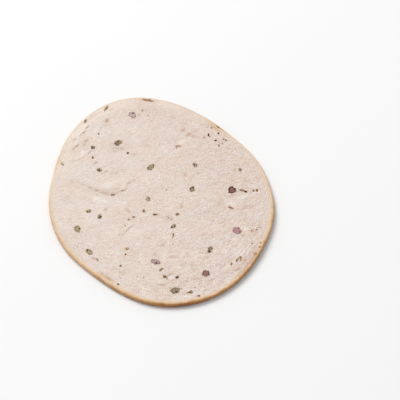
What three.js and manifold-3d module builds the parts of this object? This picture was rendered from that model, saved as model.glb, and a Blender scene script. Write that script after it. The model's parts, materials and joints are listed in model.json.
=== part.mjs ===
// One slice of cooked, seasoned turkey breast, lying flat with its cut face up. It is a thin oval slab of meat
// with a firm rim. Furrows cross it where pieces of muscle meet, and cut peppercorns and flakes of herb sit in it.
import * as THREE from 'three';
import { mergeVertices } from 'three/addons/utils/BufferGeometryUtils.js';
import Module from 'manifold-3d';

const wasm = await Module();
wasm.setup();

// Driving dimensions, in millimetres. The slice's length runs along Y, its middle is at x = y = 0 and its
// underside lies on z = 0. Angles are in degrees from +X, counterclockwise seen from above.
const OVAL_LENGTH = 139.8;
const OVAL_WIDTH = 108.1;
const THICKNESS = 2.0;

// The oval is uneven: waves of the radius run round the rim, each with a number of crests, a share of the
// radius, and the turn that puts its crest in place. One crest shifts the oval, three and more give it corners.
const RIM_WAVES = [
  { crests: 1, share: 0.0253, turn: -92.4 },
  { crests: 2, share: 0.0028, turn: -56.4 },
  { crests: 3, share: 0.018, turn: -84.6 },
  { crests: 4, share: 0.0183, turn: -14.2 },
  { crests: 5, share: 0.0043, turn: -153.1 },
  { crests: 6, share: 0.0043, turn: 106.5 },
  { crests: 9, share: 0.0032, turn: 64.5 },
];

// The slicer leaves the rim's two edges a little rounded. Each row is a step inwards from the rim and a depth
// below the cut face, from the top edge to the bottom one.
const RIM_PROFILE = [
  { inset: 0.45, depth: 0 },
  { inset: 0.08, depth: 0.2 },
  { inset: 0, depth: 0.7 },
  { inset: 0.05, depth: THICKNESS - 0.3 },
  { inset: 0.4, depth: THICKNESS },
];

// The soft slice lies flat in the middle, eases off the table all round from there out to its firmer rim, and
// lifts a little more on two sides.
const FLAT_SHARE = 0.6;
const RIM_EASE = 0.3;
const LIFTS = [
  { side: 117, height: 1.3, spread: 40 },
  { side: -50, height: 0.9, spread: 36 },
];

// Low swells of the cut face, each with a height, a length from crest to crest and the way it runs.
const SWELLS = [
  { height: 0.1, length: 47, heading: 68 },
  { height: 0.07, length: 29, heading: 112 },
  { height: 0.05, length: 19, heading: 85 },
];

// Furrows in the cut face: the long one is the seam between two muscles, the others are short creases that
// follow the rim. The first and last points of each come up to the surface, so that it fades out.
const FURROW_RADIUS = 0.6;
const FURROWS = [
  { depth: 0.42, path: [[-36, 16.8], [-31.1, 11.2], [-26, 7], [-21.5, 4.6], [-16.6, 5.4], [-11.5, 8.4]] },
  { depth: 0.3, path: [[-38.2, 37.6], [-33.6, 42.6], [-28.4, 47.6], [-23.2, 51.6]] },
  { depth: 0.3, path: [[-34.4, 34.4], [-29.2, 39.4], [-24.6, 43.4], [-19.4, 47.4]] },
  { depth: 0.25, path: [[-46.4, -20.6], [-44.4, -26.4], [-41, -32.2], [-36.6, -37.6]] },
  { depth: 0.25, path: [[16.8, -55.6], [24.4, -50.6], [32.2, -44], [38.4, -37]] },
  { depth: 0.22, path: [[-21.4, -56.8], [-13.6, -59], [-5.8, -60], [2, -59.4]] },
  { depth: 0.22, path: [[-22.4, -46.4], [-15.4, -48.4], [-7.4, -50], [0.6, -50.6]] },
  { depth: 0.22, path: [[-23.6, -21.8], [-20.8, -20.2], [-18, -17.8]] },
];

// Cut peppercorns and flakes of herb that show from a step away: middle, width, length and turn of each piece.
// The slicer has cut them level, and they stand just proud of the meat.
const PEPPERCORN_HEIGHT = 0.2;
const PEPPERCORN_SIDES = 9;
const PEPPERCORNS = [
  [2.3, 57, 3.8, 4.8, 30], [23, 11.2, 2.4, 3.5, 2], [35.2, -11.7, 4.2, 4.8, -70], [28.7, -37.4, 4.5, 5.1, 0],
  [6.3, -57.5, 4, 4.3, -64], [-14, -43.4, 3.2, 5, 54], [-10.5, 38.8, 3.5, 4.6, -75], [0.9, 16.5, 3, 4.9, -49],
  [16.5, -4.7, 2.5, 3.9, -14], [-10.1, -62.4, 3.7, 4.9, 86], [12.7, -44.5, 3, 4.2, -22],
  [-44.4, -12.6, 3.4, 4.8, -3], [-42.2, -28.3, 3, 4.8, 24], [-32.1, -8, 2.2, 3.1, -34], [-36.4, -2.9, 2.3, 3, 90],
  [-24.7, 22.7, 2.2, 2.9, 45], [-6.4, -4, 2.6, 3, 60], [0.4, -25.1, 2.3, 3.4, -64], [-23.9, 39.6, 2.5, 2.7, -43],
  [43.8, 0.3, 1.8, 2.4, -18],
];
const FLAKE_HEIGHT = 0.15;
const FLAKE_SIDES = 6;
const FLAKES = [
  [-41.7, 32.3, 1.4, 2.8, 13], [-21.7, 58.8, 1.6, 2.4, -30], [-9.3, 66, 1.7, 3, -38], [-10.5, -11.3, 1.6, 2.4, -24],
  [-6.1, -15.2, 1.6, 4.2, 60], [4.6, -18.2, 1.6, 3.4, -38], [-1.3, -30.3, 1.4, 3.1, -22], [31, -22.5, 2.2, 2.9, 68],
  [39.8, -13.6, 2.6, 3.8, 46], [36.7, 29.8, 1.3, 2.8, 11], [41.9, 29.6, 1.3, 2.1, -18], [18.8, 26.9, 2.2, 3.3, -77],
  [-24.5, -31.9, 2.3, 2.7, -68], [-12.7, -48.8, 1.4, 3.2, -67], [-12, -53.3, 2, 4.6, -77],
  [-7.2, -55.7, 1.6, 4.6, -54], [-4.3, -65.4, 2.2, 5, 88], [23.7, -54.4, 2.4, 4.5, -57],
  [19.4, -55.9, 1.6, 1.9, -67], [38.7, 24.9, 1, 2.3, 88],
];

// How far a piece of pepper or herb reaches down into the meat.
const ROOT_DEPTH = 0.7;

// How finely the slab is divided, and how far up the smooth rise of a lifted rim the slice ends.
const SECTORS = 96;
const TOP_RINGS = 18;
const UNDERSIDE_SHARES = [0.92, 0.84, 0.76, 0.68, FLAT_SHARE];
const RISE_END_SHARE = 1.35;

function radians(degrees) {
  return THREE.MathUtils.degToRad(degrees);
}

// The rim's distance from the middle, towards an angle in radians.
function rimRadius(angle) {
  const a = OVAL_WIDTH / 2;
  const b = OVAL_LENGTH / 2;
  const oval = (a * b) / Math.hypot(b * Math.cos(angle), a * Math.sin(angle));
  let share = 1;
  for (const wave of RIM_WAVES) {
    share += wave.share * Math.cos(wave.crests * angle - radians(wave.turn));
  }
  return oval * share;
}

// The height of the underside above the table at a place on the slice.
function undersideHeight(x, y) {
  const angle = Math.atan2(y, x);
  const share = Math.hypot(x, y) / rimRadius(angle);
  const rise = THREE.MathUtils.smoothstep(share, FLAT_SHARE, RISE_END_SHARE);
  let height = (RIM_EASE * Math.max(0, share - FLAT_SHARE)) / (1 - FLAT_SHARE);
  for (const lift of LIFTS) {
    const away = THREE.MathUtils.euclideanModulo(angle - radians(lift.side) + Math.PI, 2 * Math.PI) - Math.PI;
    height += lift.height * rise * Math.exp(-((away / radians(lift.spread)) ** 2));
  }
  return height;
}

// The height of the cut face above the table.
function topHeight(x, y) {
  let height = undersideHeight(x, y) + THICKNESS;
  for (const swell of SWELLS) {
    const heading = radians(swell.heading);
    const along = x * Math.cos(heading) + y * Math.sin(heading);
    height += swell.height * Math.sin((2 * Math.PI * along) / swell.length);
  }
  return height;
}

// Turns a closed geometry into a solid that can be joined and cut.
function solidOf(geometry) {
  geometry.deleteAttribute('normal');
  geometry.deleteAttribute('uv');
  const merged = mergeVertices(geometry, 1e-4);
  return new wasm.Manifold(new wasm.Mesh({
    numProp: 3,
    vertProperties: new Float32Array(merged.attributes.position.array),
    triVerts: new Uint32Array(merged.index.array),
  }));
}

// The plain slab: rings of points from the middle of the cut face over the rim to the middle of the underside.
function slabGeometry() {
  const rings = [];
  const addRing = (share, inset, heightAt) => {
    const ring = [];
    for (let i = 0; i < SECTORS; i += 1) {
      const angle = (2 * Math.PI * i) / SECTORS;
      const reach = share * (rimRadius(angle) - RIM_PROFILE[0].inset) - inset;
      const x = reach * Math.cos(angle);
      const y = reach * Math.sin(angle);
      ring.push([x, y, heightAt(x, y)]);
    }
    rings.push(ring);
  };
  for (let k = 1; k < TOP_RINGS; k += 1) {
    addRing(k / TOP_RINGS, 0, topHeight);
  }
  for (const step of RIM_PROFILE) {
    const share = step.depth / THICKNESS;
    addRing(1, step.inset - RIM_PROFILE[0].inset, (x, y) => (
      topHeight(x, y) * (1 - share) + undersideHeight(x, y) * share));
  }
  for (const share of UNDERSIDE_SHARES) {
    addRing(share, 0, undersideHeight);
  }

  const positions = [0, 0, topHeight(0, 0)];
  for (const ring of rings) {
    positions.push(...ring.flat());
  }
  positions.push(0, 0, undersideHeight(0, 0));
  const last = positions.length / 3 - 1;
  const at = (ring, i) => 1 + ring * SECTORS + (i % SECTORS);
  const triangles = [];
  for (let i = 0; i < SECTORS; i += 1) {
    triangles.push(0, at(0, i), at(0, i + 1));
    for (let ring = 0; ring < rings.length - 1; ring += 1) {
      triangles.push(at(ring, i), at(ring + 1, i), at(ring + 1, i + 1));
      triangles.push(at(ring, i), at(ring + 1, i + 1), at(ring, i + 1));
    }
    triangles.push(at(rings.length - 1, i), last, at(rings.length - 1, i + 1));
  }
  const geometry = new THREE.BufferGeometry();
  geometry.setAttribute('position', new THREE.Float32BufferAttribute(positions, 3));
  geometry.setIndex(triangles);
  return geometry;
}

// A furrow's cutter: a thin round bar along its path, which dips into the cut face between its two ends.
function furrowGeometry({ depth, path }) {
  const points = path.map(([x, y], i) => {
    const atEnd = i === 0 || i === path.length - 1;
    return new THREE.Vector3(x, y, topHeight(x, y) + FURROW_RADIUS - (atEnd ? 0 : depth));
  });
  const section = new THREE.Shape();
  section.absarc(0, 0, FURROW_RADIUS, 0, 2 * Math.PI);
  return new THREE.ExtrudeGeometry(section, {
    extrudePath: new THREE.CatmullRomCurve3(points),
    steps: (path.length - 1) * 2,
    curveSegments: 3,
  });
}

// A cut piece of pepper or herb: a low round plug with a level top, its root in the meat.
function plugGeometry([x, y, width, length, turn], height, sides) {
  const plug = new THREE.CylinderGeometry(0.42, 0.5, height + ROOT_DEPTH, sides);
  plug.rotateX(Math.PI / 2);
  plug.scale(width, length, 1);
  plug.rotateZ(radians(turn));
  plug.translate(x, y, topHeight(x, y) + (height - ROOT_DEPTH) / 2);
  return plug;
}

function turkeySlice() {
  let solid = solidOf(slabGeometry());
  for (const furrow of FURROWS) {
    solid = solid.subtract(solidOf(furrowGeometry(furrow)));
  }
  for (const row of PEPPERCORNS) {
    solid = solid.add(solidOf(plugGeometry(row, PEPPERCORN_HEIGHT, PEPPERCORN_SIDES)));
  }
  for (const row of FLAKES) {
    solid = solid.add(solidOf(plugGeometry(row, FLAKE_HEIGHT, FLAKE_SIDES)));
  }
  const result = solid.getMesh();
  const geometry = new THREE.BufferGeometry();
  geometry.setAttribute('position', new THREE.BufferAttribute(result.vertProperties, 3));
  geometry.setIndex(new THREE.BufferAttribute(result.triVerts, 1));
  geometry.computeVertexNormals();
  const meat = new THREE.MeshStandardMaterial({ color: 0xe6d4c8, roughness: 0.5, metalness: 0 });
  const mesh = new THREE.Mesh(geometry, meat);
  mesh.name = 'turkey_slice';
  return mesh;
}

const group = new THREE.Group();
group.add(turkeySlice());

export default group;
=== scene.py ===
import json
import math
import random

import bmesh
import bpy
import numpy as np
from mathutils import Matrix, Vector

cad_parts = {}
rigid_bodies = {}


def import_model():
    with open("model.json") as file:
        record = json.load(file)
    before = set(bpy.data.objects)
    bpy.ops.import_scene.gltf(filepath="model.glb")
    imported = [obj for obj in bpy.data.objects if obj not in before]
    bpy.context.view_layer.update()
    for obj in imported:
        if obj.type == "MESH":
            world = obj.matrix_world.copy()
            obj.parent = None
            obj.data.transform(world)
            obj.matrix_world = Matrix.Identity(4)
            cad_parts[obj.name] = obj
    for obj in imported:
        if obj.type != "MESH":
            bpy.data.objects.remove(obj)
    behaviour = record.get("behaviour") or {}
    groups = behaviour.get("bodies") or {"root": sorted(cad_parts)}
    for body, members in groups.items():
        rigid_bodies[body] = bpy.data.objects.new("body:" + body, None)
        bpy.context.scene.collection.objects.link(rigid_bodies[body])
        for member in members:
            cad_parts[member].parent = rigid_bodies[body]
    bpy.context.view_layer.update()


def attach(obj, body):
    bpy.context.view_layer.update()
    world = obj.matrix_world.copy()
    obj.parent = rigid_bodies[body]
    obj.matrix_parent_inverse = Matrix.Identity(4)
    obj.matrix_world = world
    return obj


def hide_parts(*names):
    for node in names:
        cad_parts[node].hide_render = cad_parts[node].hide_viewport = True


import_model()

# The slice
# It is cut across a cooked and pressed turkey breast: a thin oval slab of pale, moist meat. Strands of muscle
# run across it and bend round its ends, and furrows mark where two pieces of muscle meet. It starts as a
# round blank, filled with even squares and thickened row by row, which is then drawn out to the oval.

# Sizes are in millimetres, and angles in degrees from +X, counterclockwise seen from above.
MM = 0.001
OVAL_LENGTH = 139.8
OVAL_WIDTH = 108.1
THICKNESS = 2.0

# Waves round the rim: the number of crests, their share of the radius and the turn of the first crest.
RIM_WAVES = [
    (1, 0.0253, -92.4), (2, 0.0028, -56.4), (3, 0.018, -84.6), (4, 0.0183, -14.2), (5, 0.0043, -153.1),
    (6, 0.0043, 106.5), (9, 0.0032, 64.5),
]

# The rounded rim, from the lower edge to the upper one: a step inwards and a depth below the cut face.
RIM_PROFILE = [
    (0.4, THICKNESS), (0.2, 1.88), (0.05, 1.7), (0.01, 1.4), (0, 1.05), (0, 0.7), (0.02, 0.45), (0.08, 0.2),
    (0.2, 0.07), (0.45, 0),
]

# The rim eases off the table all round, and lifts a little more on two sides: side, height and spread.
FLAT_SHARE = 0.6
RIM_EASE = 0.3
LIFTS = [(117, 1.3, 40), (-50, 0.9, 36)]
RISE_END_SHARE = 1.35

# Low swells of the cut face: height, length from crest to crest and heading.
SWELLS = [(0.1, 47, 68), (0.07, 29, 112), (0.05, 19, 85)]

# A small step in the rim, on the side where the browning starts: its side, its depth and its spread.
NOTCH_SIDE = 136
NOTCH_DEPTH = 0.35
NOTCH_SPREAD = 1.3

# Furrows in the cut face: depth, half width, how dark they are, and their path. The darkness is partly the
# seam's own reddish colour and partly painted shade in the grooves. The first is a soft fold all along the
# seam between two muscles, and the next ones are fine dark lines in it, where it gapes.
FURROWS = [
    (0.17, 0.9, 0.2, [(-35.5, 15.8), (-33.5, 14.3), (-31.3, 11.8), (-29.2, 9.7), (-27.5, 7.9),
                      (-25.0, 6.0), (-22.7, 4.6), (-20.6, 4.4), (-18.4, 4.8), (-16.2, 5.3), (-14.3, 6.5),
                      (-12.5, 8.6), (-10, 9.9)]),
    (0.14, 0.3, 0.5, [(-36, 16.3), (-34.5, 15.3), (-33, 14.0)]),
    (0.17, 0.32, 0.75, [(-32.8, 13.7), (-31.6, 12.2), (-30.4, 10.8)]),
    (0.19, 0.4, 0.95, [(-30, 10.2), (-29.2, 9.6), (-28.4, 8.7)]),
    (0.17, 0.6, 0.5, [(-28.6, 8.8), (-26.9, 7.2), (-25, 5.9), (-23.2, 5)]),
    (0.14, 0.35, 0.6, [(-27.2, 7.1), (-25.4, 5.4), (-23.8, 4.5)]),
    (0.11, 0.3, 0.5, [(-21.3, 4.3), (-19.9, 4.6), (-18.6, 5.0)]),
    (0.14, 0.35, 0.9, [(-17.8, 5.2), (-17, 5.2), (-16.2, 5.1)]),
    (0.11, 0.4, 0.55, [(-16.2, 5.1), (-15.1, 5.4), (-14.1, 6.5)]),
    (0.11, 0.5, 0.7, [(-13.5, 9.3), (-12.4, 9.1), (-11.4, 9.5)]),
    (0.11, 0.45, 0.6, [(-11, 9.6), (-9.9, 10.1), (-8.8, 9.9)]),
    (0.06, 0.7, 0.2, [(-21.5, 7.3), (-19, 6.8), (-16.5, 6.3)]),
    (0.19, 0.4, 0.9, [(-24.6, 53.6), (-23.2, 54.8), (-21.6, 55.9)]),
    (0.22, 0.45, 0.95, [(-27.2, 50.6), (-25.8, 51.5), (-24.2, 52.3)]),
    (0.17, 0.35, 0.5, [(-29, 49.2), (-28, 50), (-27, 50.8)]),
    (0.17, 0.35, 0.8, [(-33.2, 47.3), (-31.8, 47.7), (-30.2, 48.0)]),
    (0.11, 0.4, 0.4, [(-30, 46.2), (-29.2, 46.8), (-28.8, 47.4)]),
    (0.19, 0.4, 0.65, [(-34.6, 40.2), (-33.6, 41.3), (-32.8, 42)]),
    (0.19, 0.5, 0.75, [(-32.8, 42), (-31.5, 42.9), (-30.2, 43.8)]),
    (0.17, 0.5, 0.5, [(-27.6, 44.4), (-26.2, 45.2), (-24.4, 46.4)]),
    (0.11, 0.5, 0.65, [(-28.6, 42), (-27.8, 42.5), (-27, 43.6)]),
    (0.08, 0.4, 0.3, [(-21.6, 43), (-21, 43.8), (-20.6, 44.4)]),
    (0.11, 0.32, 0.35, [(-39.5, 33.6), (-36.5, 32.9), (-33.4, 32.7), (-30.6, 33.6), (-28.6, 34.6)]),
    (0.11, 0.4, 0.75, [(-28.2, 34.9), (-26.9, 35.9), (-25.7, 37.0), (-24.9, 38.2)]),
    (0.11, 0.3, 0.3, [(-17.4, 50.6), (-16.2, 52.4), (-15.2, 53.8)]),
    (0.11, 0.3, 0.3, [(-10.8, 59.4), (-9.6, 60.6), (-8.6, 61.6)]),
    (0.14, 0.35, 0.5, [(-9.2, 63.6), (-7.8, 64.1), (-5.8, 64.8)]),
    (0.11, 0.35, 0.3, [(-8.8, 53.6), (-7.6, 53.8), (-6.4, 53.5)]),
    (0.14, 0.4, 0.4, [(-10.8, 34.9), (-9.6, 34.2), (-8.4, 33.2)]),
    (0.07, 0.4, 0.2, [(17, 26.2), (13.5, 24.4), (10.2, 22.5), (4, 18.7)]),
    (0.08, 0.55, 0.6, [(-26.6, 27.7), (-25, 28.1), (-23.6, 28.9)]),
    (0.11, 0.5, 0.6, [(-23, -21.6), (-21, -20.3), (-19.2, -19.2), (-17.4, -18.8)]),
    (0.06, 0.5, 0.2, [(-26, -22.6), (-24.5, -22.8), (-23, -22.4)]),
    (0.08, 0.4, 0.3, [(-15.2, -27.4), (-13.4, -28.4), (-11.6, -30)]),
    (0.11, 0.4, 0.2, [(-25.4, -10.6), (-22.9, -9.0), (-21.1, -7.9)]),
    (0.14, 0.5, 0.5, [(-42.4, -31.6), (-41, -32.9), (-39.4, -34.2)]),
    (0.11, 0.5, 0.25, [(-39.4, -34.4), (-38.6, -36.2), (-37.2, -38.2)]),
    (0.14, 0.5, 0.2, [(-36.4, -40.2), (-34.4, -41.8), (-32.7, -42.6)]),
    (0.14, 0.4, 0.35, [(-17, -48), (-15.6, -48.7), (-14.2, -49)]),
    (0.14, 0.45, 0.7, [(-11, -53.2), (-9.6, -52.8), (-7.8, -52.9)]),
    (0.14, 0.5, 0.35, [(-10.8, -56.4), (-9, -56.8), (-7.4, -56.7)]),
    (0.14, 0.5, 0.65, [(-16.8, -57.1), (-15, -57.6), (-13, -58.2)]),
    (0.11, 0.45, 0.3, [(-22.4, -54.4), (-20.4, -55.9), (-18, -56.8)]),
    (0.11, 0.5, 0.3, [(-17, -37.2), (-16.2, -37.5), (-15.4, -38)]),
    (0.12, 0.45, 0.2, [(-9.8, -42.7), (-5.8, -43.9), (-0.4, -45.6)]),
    (0.11, 0.45, 0.25, [(-5.5, -58.8), (0.1, -59.4), (5.9, -59.5)]),
    (0.12, 0.45, 0.08, [(-4.5, -49.3), (0.5, -49.0), (6.0, -50.2), (11.2, -49.4)]),
    (0.11, 0.5, 0.4, [(0.2, -51), (1.6, -50.9), (3.2, -50.2)]),
    (0.11, 0.6, 0.3, [(5.2, -61.8), (7.4, -61.9), (9.6, -61.4)]),
    (0.08, 0.45, 0.15, [(15, -55.6), (19.4, -54.6), (24.2, -52.3), (29.4, -48.9)]),
    (0.11, 0.4, 0.95, [(19, -60.3), (21, -60.1), (23, -59.9)]),
    (0.11, 0.45, 0.2, [(21.8, -59.1), (28.2, -54.9), (34.1, -49.8), (39.2, -44.3)]),
    (0.08, 0.4, 0.12, [(15.4, -44.4), (20.9, -42.9), (27.4, -40.5), (32.5, -37.5)]),
    (0.11, 0.45, 0.15, [(32.3, -46.6), (36.9, -42.2), (41.0, -38.3)]),
    (0.08, 0.45, 0.15, [(23.4, -4.7), (29.1, -5.1), (35.6, -5.0)]),
    (0.08, 0.45, 0.2, [(13.2, -21.8), (18.5, -21.4), (23.5, -21.7)]),
    (0.07, 0.45, 0.12, [(8.3, 43.0), (15.2, 44.0), (22.1, 42.6)]),
    (0.06, 0.9, 0.3, [(21.5, -60.6), (24, -58.6), (27.4, -55.9), (30.4, -53.3), (32.4, -50.9)]),
    (0.1, 0.6, 0.45, [(17.5, -65), (20.6, -63.3), (24.5, -60.6), (28.1, -57.7), (31.5, -54.6),
                      (34.7, -51.4), (36.5, -49.4)]),
]

# A furrow's reach in its own half widths, and how far off it the raised lip on one side lies and how wide it
# is. The lip's height is a share of the furrow's depth, and both fade towards the ends of the path.
FURROW_REACH = 5
LIP_OFF = 2
LIP_WIDTH = 1.2
LIP_SHARE = 0.4
PATH_END = 0.02
PATH_FADE = 0.6
PATH_STEPS = 8

# How finely the blank is divided, and what is kept of the flat underside's faces.
RIM_POINTS = 1040
UNDERSIDE_KEPT = 0.12

# The strands: their direction bends so that they follow the rim at both ends. A unit of their map is one
# strand long and one strand wide, and slow waves keep them from running quite even.
STRAND_LENGTH = 3.2
STRAND_WIDTH = 0.9
STRAND_BEND = 0.88
STRAND_BEND_REACH = 56
STRAND_WAVES = [(0.9, 31, 20), (0.6, 17, 75), (0.35, 9, -40)]


def smooth_step(value, low, high):
    share = np.clip((value - low) / (high - low), 0, 1)
    return share * share * (3 - 2 * share)


def angle_between(angle, side):
    """The turn from a side, in degrees, to an angle, in radians, as degrees between -180 and 180."""
    return (np.degrees(angle) - side + 180) % 360 - 180


def along_heading(x, y, heading):
    """How far places lie from the middle, along a heading."""
    return x * math.cos(math.radians(heading)) + y * math.sin(math.radians(heading))


def add_waves(value, x, y, waves):
    """A value with long waves added to it: their height, length from crest to crest and heading."""
    for wave, length, heading in waves:
        value = value + wave * np.sin(2 * math.pi * along_heading(x, y, heading) / length)
    return value


def rim_radius(angle):
    a = OVAL_WIDTH / 2
    b = OVAL_LENGTH / 2
    oval = a * b / np.hypot(b * np.cos(angle), a * np.sin(angle))
    share = 1
    for crests, part, turn in RIM_WAVES:
        share = share + part * np.cos(crests * angle - math.radians(turn))
    return oval * share - NOTCH_DEPTH * np.exp(-(angle_between(angle, NOTCH_SIDE) / NOTCH_SPREAD) ** 2)


def underside_height(x, y):
    angle = np.arctan2(y, x)
    share = np.hypot(x, y) / rim_radius(angle)
    rise = smooth_step(share, FLAT_SHARE, RISE_END_SHARE)
    height = RIM_EASE * np.maximum(0, share - FLAT_SHARE) / (1 - FLAT_SHARE)
    for side, lift, spread in LIFTS:
        height = height + lift * rise * np.exp(-(angle_between(angle, side) / spread) ** 2)
    return height


def cut_face_height(x, y):
    return add_waves(underside_height(x, y) + THICKNESS, x, y, SWELLS)


def smooth_line(path):
    """A smooth line through the points of a path, as a list of closer points."""
    points = np.array([path[0]] + list(path) + [path[-1]], float)
    line = []
    for before, start, end, after in zip(points, points[1:], points[2:], points[3:]):
        for step in range(PATH_STEPS):
            t = step / PATH_STEPS
            square = 2 * before - 5 * start + 4 * end - after
            cube = 3 * start - before - 3 * end + after
            line.append(0.5 * (2 * start + (end - before) * t + square * t ** 2 + cube * t ** 3))
    line.append(points[-1])
    return np.array(line)


def near_path(x, y, path, margin):
    """The places near a path: their numbers, how far off it they are, on which side, and how far along it."""
    line = smooth_line(path)
    low = line.min(0) - margin
    high = line.max(0) + margin
    near = np.flatnonzero((x > low[0]) & (x < high[0]) & (y > low[1]) & (y < high[1]))
    start = line[:-1]
    run = np.diff(line, axis=0)
    here = np.stack([x[near], y[near]], axis=1)[:, None, :]
    share = np.clip(((here - start) * run).sum(2) / (run ** 2).sum(1), 0, 1)
    off = here - start - share[..., None] * run
    gap = np.hypot(off[..., 0], off[..., 1])
    pick = gap.argmin(1)
    rows = np.arange(len(near))
    side = np.sign(run[pick, 0] * off[rows, pick, 1] - run[pick, 1] * off[rows, pick, 0])
    lengths = np.hypot(run[:, 0], run[:, 1])
    before = np.concatenate([[0], np.cumsum(lengths)])
    along = (before[pick] + share[rows, pick] * lengths[pick]) / before[-1]
    return near, gap[rows, pick], side, along


def furrow_relief(x, y):
    """The height that the furrows add to the cut face, and how dark they make it, partly as painted shade in
    the grooves.
    """
    height = np.zeros(len(x))
    furrow_tint_and_shade = np.zeros(len(x))
    for depth, half_width, tone, path in FURROWS:
        near, gap, side, along = near_path(x, y, path, half_width * FURROW_REACH)
        fade = np.sin(math.pi * np.clip(along, PATH_END, 1 - PATH_END)) ** PATH_FADE
        groove = np.exp(-(gap / half_width) ** 2) * fade
        lip = np.exp(-((gap - LIP_OFF * half_width) / (LIP_WIDTH * half_width)) ** 2) * (side > 0) * fade
        height[near] += depth * (LIP_SHARE * lip - groove)
        furrow_tint_and_shade[near] = np.maximum(furrow_tint_and_shade[near], tone * groove)
    return height, furrow_tint_and_shade


def deselect_all():
    bpy.ops.object.select_all(action="DESELECT")


def coordinates(piece, unit=MM):
    """A piece's points as rows of x, y, z, in millimetres or in another unit."""
    flat = np.empty(len(piece.data.vertices) * 3)
    piece.data.vertices.foreach_get("co", flat)
    return flat.reshape(-1, 3) / unit


def move_points(piece, points):
    piece.data.vertices.foreach_set("co", (points * MM).ravel())
    piece.data.update()


def corner_points(piece):
    """The number of the point at each corner of a piece's faces."""
    points = np.empty(len(piece.data.loops), int)
    piece.data.loops.foreach_get("vertex_index", points)
    return points


def weigh_group(piece, name, weights):
    """A vertex group with weights in steps of a tenth."""
    group = piece.vertex_groups.new(name=name)
    tenths = np.rint(np.asarray(weights) * 10)
    for tenth in range(1, 11):
        group.add(np.flatnonzero(tenths == tenth).tolist(), tenth / 10, "REPLACE")


def write_attribute(piece, name, values):
    attribute = piece.data.attributes.new(name, "FLOAT", "POINT")
    attribute.data.foreach_set("value", np.asarray(values, float))


# The blank: a disc of radius one, filled with squares and drawn up once for each row of the rim.
deselect_all()
bpy.ops.mesh.primitive_circle_add(vertices=RIM_POINTS, radius=1)
turkey = bpy.context.object
turkey.name = "turkey"
bpy.ops.object.mode_set(mode="EDIT")
bpy.ops.mesh.select_all(action="SELECT")
bpy.ops.mesh.fill_grid(span=RIM_POINTS // 4)
for _ in RIM_PROFILE[1:]:
    bpy.ops.mesh.extrude_region_move(TRANSFORM_OT_translate={"value": (0, 0, 1)})
bpy.ops.mesh.select_all(action="SELECT")
bpy.ops.mesh.normals_make_consistent(inside=False)
bpy.ops.object.mode_set(mode="OBJECT")

# The oval: each point of the disc moves out to the outline, and each row goes to its depth.
blank = coordinates(turkey, unit=1)
row = np.rint(blank[:, 2]).astype(int)
reach = np.hypot(blank[:, 0], blank[:, 1])
angle = np.arctan2(blank[:, 1], blank[:, 0])
inset, depth = np.array(RIM_PROFILE).T
radius = reach * (rim_radius(angle) - inset[row])
x = radius * np.cos(angle)
y = radius * np.sin(angle)
down = depth[row] / THICKNESS
height = cut_face_height(x, y) * (1 - down) + underside_height(x, y) * down
on_top = row == len(RIM_PROFILE) - 1
relief, _ = furrow_relief(x, y)
height[on_top] += relief[on_top]
move_points(turkey, np.stack([x, y, height], axis=1))

inner = reach < 0.999
weigh_group(turkey, "cut_face", on_top & inner)
weigh_group(turkey, "underside", (row == 0) & inner)
weigh_group(turkey, "rim", ~inner)

# The wall of the rim takes the browned rind's material, and the two faces that of the meat.
face_rows = row[corner_points(turkey)].reshape(-1, 4)
is_wall = face_rows.min(1) != face_rows.max(1)
turkey.data.materials.append(bpy.data.materials.new("turkey_meat"))
turkey.data.materials.append(bpy.data.materials.new("turkey_rind"))
turkey.data.polygons.foreach_set("material_index", is_wall.astype(int))


def roughen(piece, name, size, height, group, middle=0.5, direction="Z", coords="UV"):
    """Raises and sinks a group by clouds: their size in map units or metres, their height in millimetres."""
    pattern = bpy.data.textures.new(name, "CLOUDS")
    pattern.noise_scale = size
    pattern.noise_depth = 1
    modifier = piece.modifiers.new(name, "DISPLACE")
    modifier.texture = pattern
    modifier.texture_coords = coords
    if coords == "UV":
        modifier.uv_layer = "strands"
    modifier.direction = direction
    modifier.mid_level = middle
    modifier.strength = height * MM
    modifier.vertex_group = group
    bpy.ops.object.modifier_apply(modifier=name)


# The underside lies flat and needs few faces; it gets its own slight unevenness first, upwards only.
UNDERSIDE_UNEVENNESS = 0.07
UNDERSIDE_LUMP = 0.003
roughen(turkey, "underside_unevenness", UNDERSIDE_LUMP, UNDERSIDE_UNEVENNESS, "underside", middle=0,
        coords="LOCAL")
bpy.ops.object.mode_set(mode="EDIT")
bpy.ops.mesh.select_all(action="DESELECT")
bpy.ops.object.vertex_group_set_active(group="underside")
bpy.ops.object.vertex_group_select()
bpy.ops.mesh.select_less()
bpy.ops.mesh.decimate(ratio=UNDERSIDE_KEPT)
bpy.ops.object.mode_set(mode="OBJECT")

# The map of the strands, which the relief and the materials follow.
points = coordinates(turkey)
x, y, height = points.T
bend = np.sqrt(1 - STRAND_BEND * np.minimum(1, (x / STRAND_BEND_REACH) ** 2))
across = add_waves(y / bend, x, y, STRAND_WAVES)
strand_map = turkey.data.uv_layers.new(name="strands")
map_points = np.stack([x / STRAND_LENGTH, across / STRAND_WIDTH], axis=1)
strand_map.data.foreach_set("uv", map_points[corner_points(turkey)].ravel())

# What the materials read: the way from the rim, how roasted each side is, how much painted light pales the
# meat by the rim on the lamp's side, the furrows' darkness, which is partly painted shade, and how coarse and
# how rosy the meat is. It gets coarser towards one side and rosier towards another, over a reach along it.
# Where it is finest a share of the relief is left, and next to the rim there is none.
COARSE_SIDE = -32
COARSE_REACH = (-25, 45)
COARSE_LEAST = 0.64
ROSY_SIDE = -10
ROSY_REACH = (-40, 40)
RELIEF_STOPS = 0.5

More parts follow.
